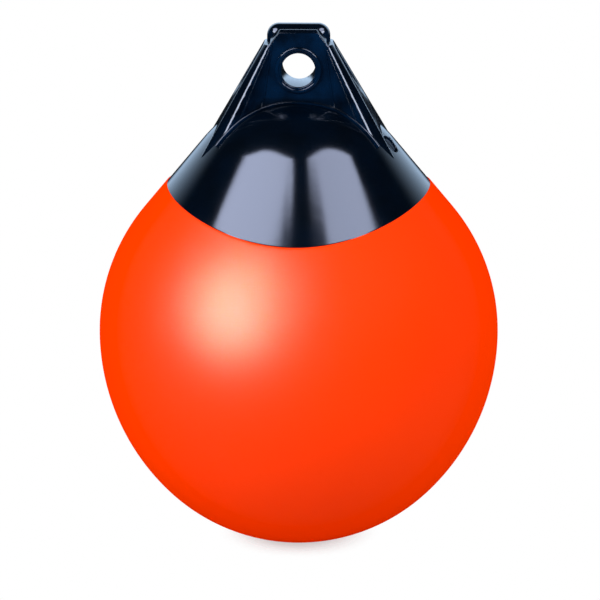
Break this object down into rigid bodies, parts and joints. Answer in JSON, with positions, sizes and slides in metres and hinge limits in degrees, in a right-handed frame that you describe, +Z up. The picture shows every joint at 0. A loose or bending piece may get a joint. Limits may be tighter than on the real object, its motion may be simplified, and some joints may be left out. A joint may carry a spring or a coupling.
{
  "type": "inflatable ball mooring buoy",
  "caption": "Inflatable round vinyl buoy with a moulded rope hold on its crown: legs, a rope eye through the block, and an air valve in the skirt.",
  "frame": {"origin": "middle of the flattened patch under the ball, on the floor", "axes": "+Z up through the rope hold; X along the rope hold's wide side, with the air valve at +X; the rope eye's bore runs along Y"},
  "size_m": [0.2899, 0.29, 0.3808],
  "materials": {
    "ball_vinyl": "satin",
    "hold_vinyl": "gloss",
    "valve_plastic": "gloss",
    "plug_plastic": "satin"
  },
  "bodies": {
    "root": {"ball": "ball_vinyl", "rope_hold": "hold_vinyl", "valve_body": "valve_plastic", "valve_plug": "plug_plastic"}
  },
  "joints": []
}
